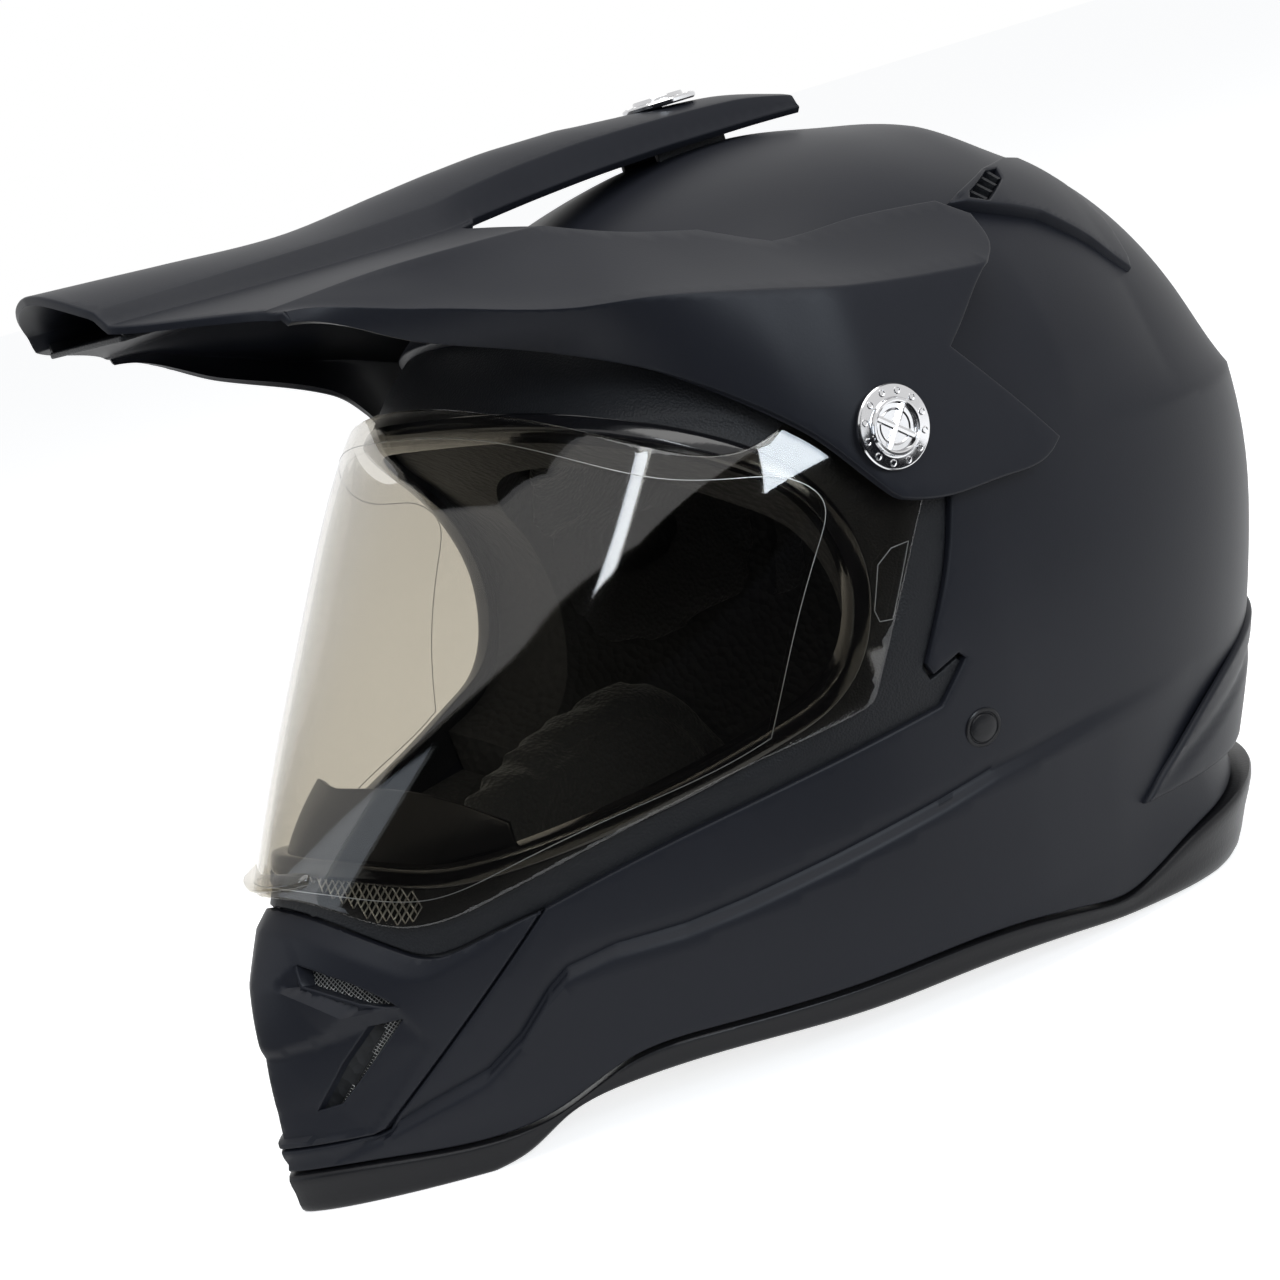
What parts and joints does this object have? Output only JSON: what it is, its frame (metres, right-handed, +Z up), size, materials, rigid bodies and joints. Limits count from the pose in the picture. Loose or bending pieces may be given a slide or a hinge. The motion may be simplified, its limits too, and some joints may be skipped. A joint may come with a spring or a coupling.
{
  "type": "dual sport helmet",
  "caption": "Full-face dual sport helmet with a lifting clear visor, a long tilting peak, a vented chin bar, a padded lining and a chin strap.",
  "frame": {"origin": "middle of the helmet's footprint on the floor it stands on", "axes": "-Y is forward, +X is the wearer's left, +Z is up"},
  "size_m": [0.275, 0.3784, 0.2824],
  "materials": {
    "shell_black": "satin matte lacquer",
    "moulded_black": "fine moulded grain",
    "gloss_black": "gloss",
    "soft_rubber": "soft satin rubber",
    "foam_liner": "moulded expanded foam",
    "lining_fabric": "brushed knitted lining",
    "mesh_fabric": "open mesh over foam",
    "webbing": "woven webbing",
    "visor_clear": "clear polycarbonate, faint smoke",
    "chrome": "bright plated",
    "silver_mesh": "silver grille",
    "steel": "zinc-plated steel"
  },
  "bodies": {
    "helmet": {"outer_shell": "shell_black", "chin_cover": "shell_black", "neck_trim": "soft_rubber", "eyeport_frame": "moulded_black", "eyeport_gasket": "gloss_black", "upper_vent_mesh": "silver_mesh", "lower_vent_mesh_left": "silver_mesh", "lower_vent_mesh_right": "silver_mesh", "impact_liner": "foam_liner", "chin_liner": "foam_liner", "comfort_liner": "lining_fabric", "cheek_pad_left": "mesh_fabric", "cheek_pad_right": "mesh_fabric", "breath_guard": "moulded_black", "sill_grille_left": "silver_mesh", "sill_grille_right": "silver_mesh", "top_vent_left": "shell_black", "top_vent_right": "shell_black", "strap_anchor_left": "steel", "strap_anchor_right": "steel", "anchor_cap_left": "moulded_black", "anchor_cap_right": "moulded_black", "rear_panel": "shell_black", "chin_strap_left": "webbing", "chin_strap_right": "webbing", "strap_buckle": "moulded_black", "peak_bracket": "moulded_black", "pivot_hub_left": "moulded_black", "pivot_hub_right": "moulded_black", "side_screw_left": "chrome", "side_screw_right": "chrome"},
    "visor_shield": {"visor": "visor_clear", "visor_tab": "visor_clear"},
    "peak_assembly": {"peak": "shell_black", "peak_duct": "moulded_black", "top_screw": "chrome", "top_nut": "steel"},
    "chin_shutter": {"vent_shutter": "moulded_black", "shutter_lever": "moulded_black"}
  },
  "joints": [
    {"name": "visor_hinge", "type": "hinge", "parent": "helmet", "child": "visor_shield", "pos_m": [0, -0.0022, 0.178], "axis": [-1, 0, 0], "range_deg": [0, 21]},
    {"name": "peak_tilt", "type": "hinge", "parent": "helmet", "child": "peak_assembly", "pos_m": [0, -0.0022, 0.178], "axis": [-1, 0, 0], "range_deg": [-1.5, 0.7]},
    {"name": "shutter_slide", "type": "slide", "parent": "helmet", "child": "chin_shutter", "axis": [0, 0.35, 0.9367], "range_m": [0, 0.008]}
  ]
}
